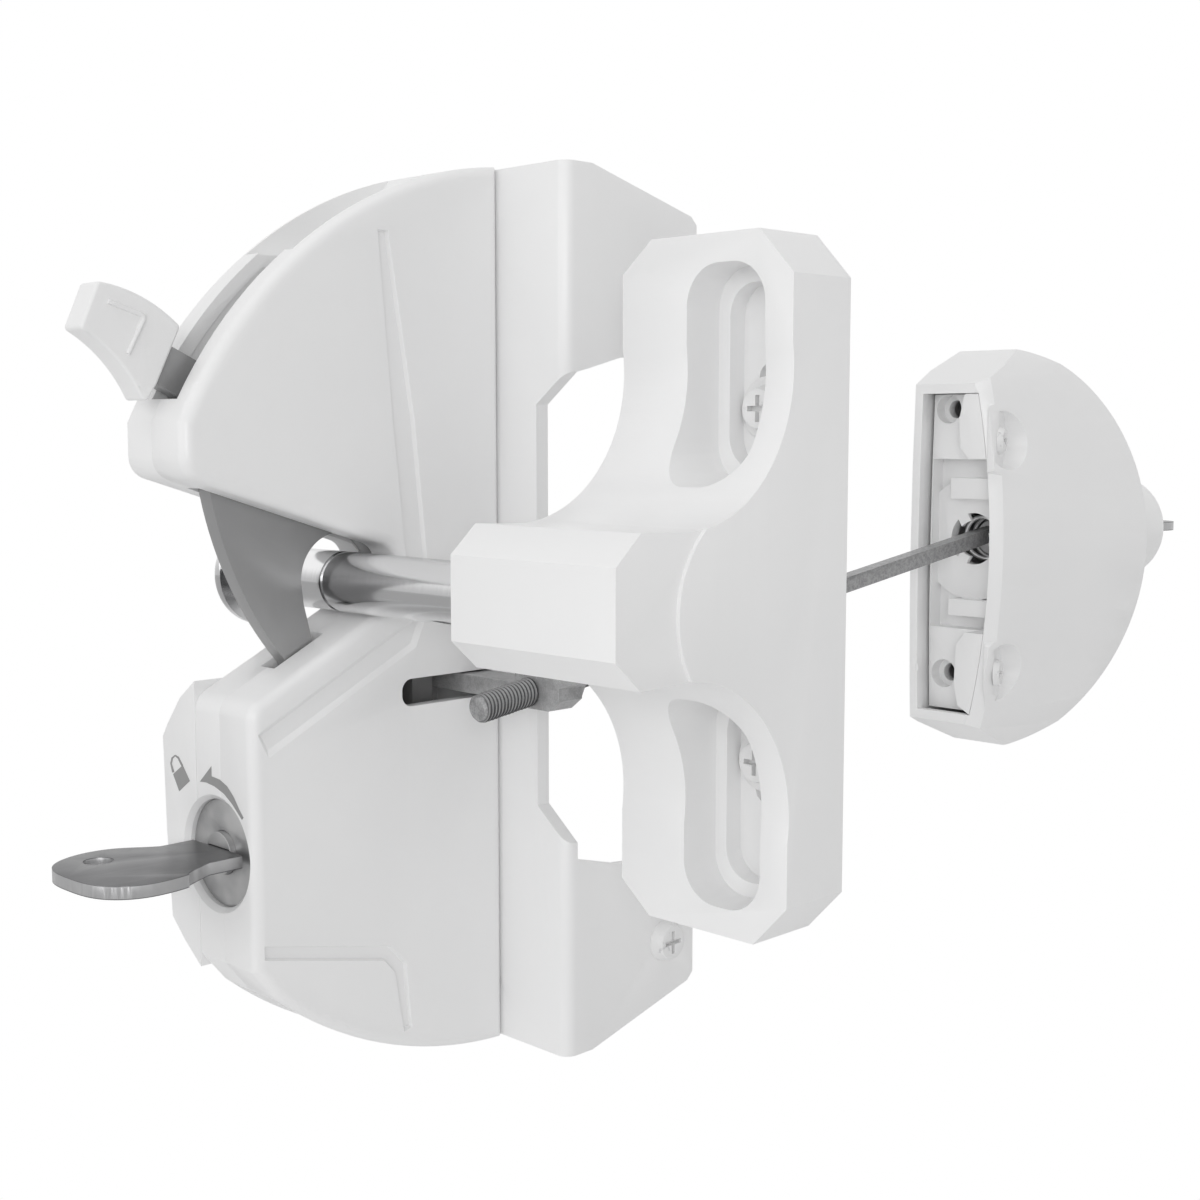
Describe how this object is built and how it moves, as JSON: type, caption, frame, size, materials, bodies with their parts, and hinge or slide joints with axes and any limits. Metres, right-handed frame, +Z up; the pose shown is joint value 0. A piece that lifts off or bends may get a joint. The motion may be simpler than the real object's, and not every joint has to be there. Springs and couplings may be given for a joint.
{
  "type": "gate latch",
  "caption": "Two sided key locking gate latch: post housing with a lifting hook, striker bar on the gate, and a push button unit on the street side joined by a rod.",
  "frame": {"origin": "middle of the bracket face that lies on the post", "axes": "+X from the post towards the gate, +Y from the yard through the fence to the street, +Z up"},
  "size_m": [0.1086, 0.3146, 0.1712],
  "materials": {
    "white_plastic": "satin gloss white moulding",
    "white_metal": "white powder coat",
    "hook_metal": "smooth grey cast hook",
    "zinc": "mottled galvanised steel",
    "bright": "polished chrome",
    "steel": "satin steel",
    "screw_white": "white coated screw",
    "lock_metal": "satin lock body",
    "lock_brass": "plain brass"
  },
  "bodies": {
    "latch_base": {"mounting_bracket": "white_metal", "near_shell": "white_plastic", "far_shell": "white_plastic", "housing_screws": "steel", "bracket_screws": "steel", "post_screws": "screw_white", "hook_pivot_pin": "steel", "lock_sleeve": "lock_metal", "barrel_fork": "zinc", "outer_base": "white_plastic", "outer_cover": "white_plastic", "cover_screws": "screw_white"},
    "hook_lever": {"latch_hook": "hook_metal", "thumb_grip": "white_plastic", "hook_spring": "steel"},
    "push_train": {"push_button": "white_plastic", "button_stem": "white_plastic", "push_rod": "zinc", "rod_locknut": "zinc", "push_arm": "zinc", "button_spring": "steel"},
    "inside_lock": {"inside_key": "steel", "lock_plug": "lock_metal", "lock_cam": "zinc", "cam_screw": "steel"},
    "bolt": {"lock_bolt": "zinc"},
    "outside_lock": {"outer_key": "steel", "outer_lock_plug": "lock_brass", "outer_cam": "zinc", "outer_cam_screw": "steel"},
    "striker": {"striker_body": "white_metal", "strike_bar": "bright", "bar_set_screw": "steel", "striker_screws": "screw_white", "striker_washers": "screw_white"}
  },
  "joints": [
    {"name": "latch_lift", "type": "hinge", "parent": "latch_base", "child": "hook_lever", "pos_m": [-0.01, -0.0135, 0.0075], "axis": [-1, 0, 0], "range_deg": [0, 35.53], "stiffness_Nm_per_rad": 0.05, "springref_deg": -28.65, "deforming": ["hook_spring"]},
    {"name": "button_push", "type": "slide", "parent": "latch_base", "child": "push_train", "axis": [0, -1, 0], "range_m": [0, 0.0124], "deforming": ["button_spring"]},
    {"name": "inside_key_turn", "type": "hinge", "parent": "latch_base", "child": "inside_lock", "pos_m": [-0.012, -0.05, -0.0395], "axis": [0, -1, 0], "range_deg": [0, 90]},
    {"name": "bolt_slide", "type": "slide", "parent": "latch_base", "child": "bolt", "axis": [0, 0, 1], "range_m": [0, 0.007]},
    {"name": "outside_key_turn", "type": "hinge", "parent": "push_train", "child": "outside_lock", "pos_m": [0.0194, 0.2, 0.0092], "axis": [0, 1, 0], "range_deg": [0, 90]},
    {"name": "striker_slide", "type": "slide", "parent": "latch_base", "child": "striker", "axis": [1, 0, 0], "range_m": [-0.003, 0.009]}
  ],
  "couplings": [
    {"joint": "latch_lift", "follows": "button_push", "rad_per_m": 50},
    {"joint": "inside_key_turn", "follows": "bolt_slide", "rad_per_m": 224.39}
  ]
}
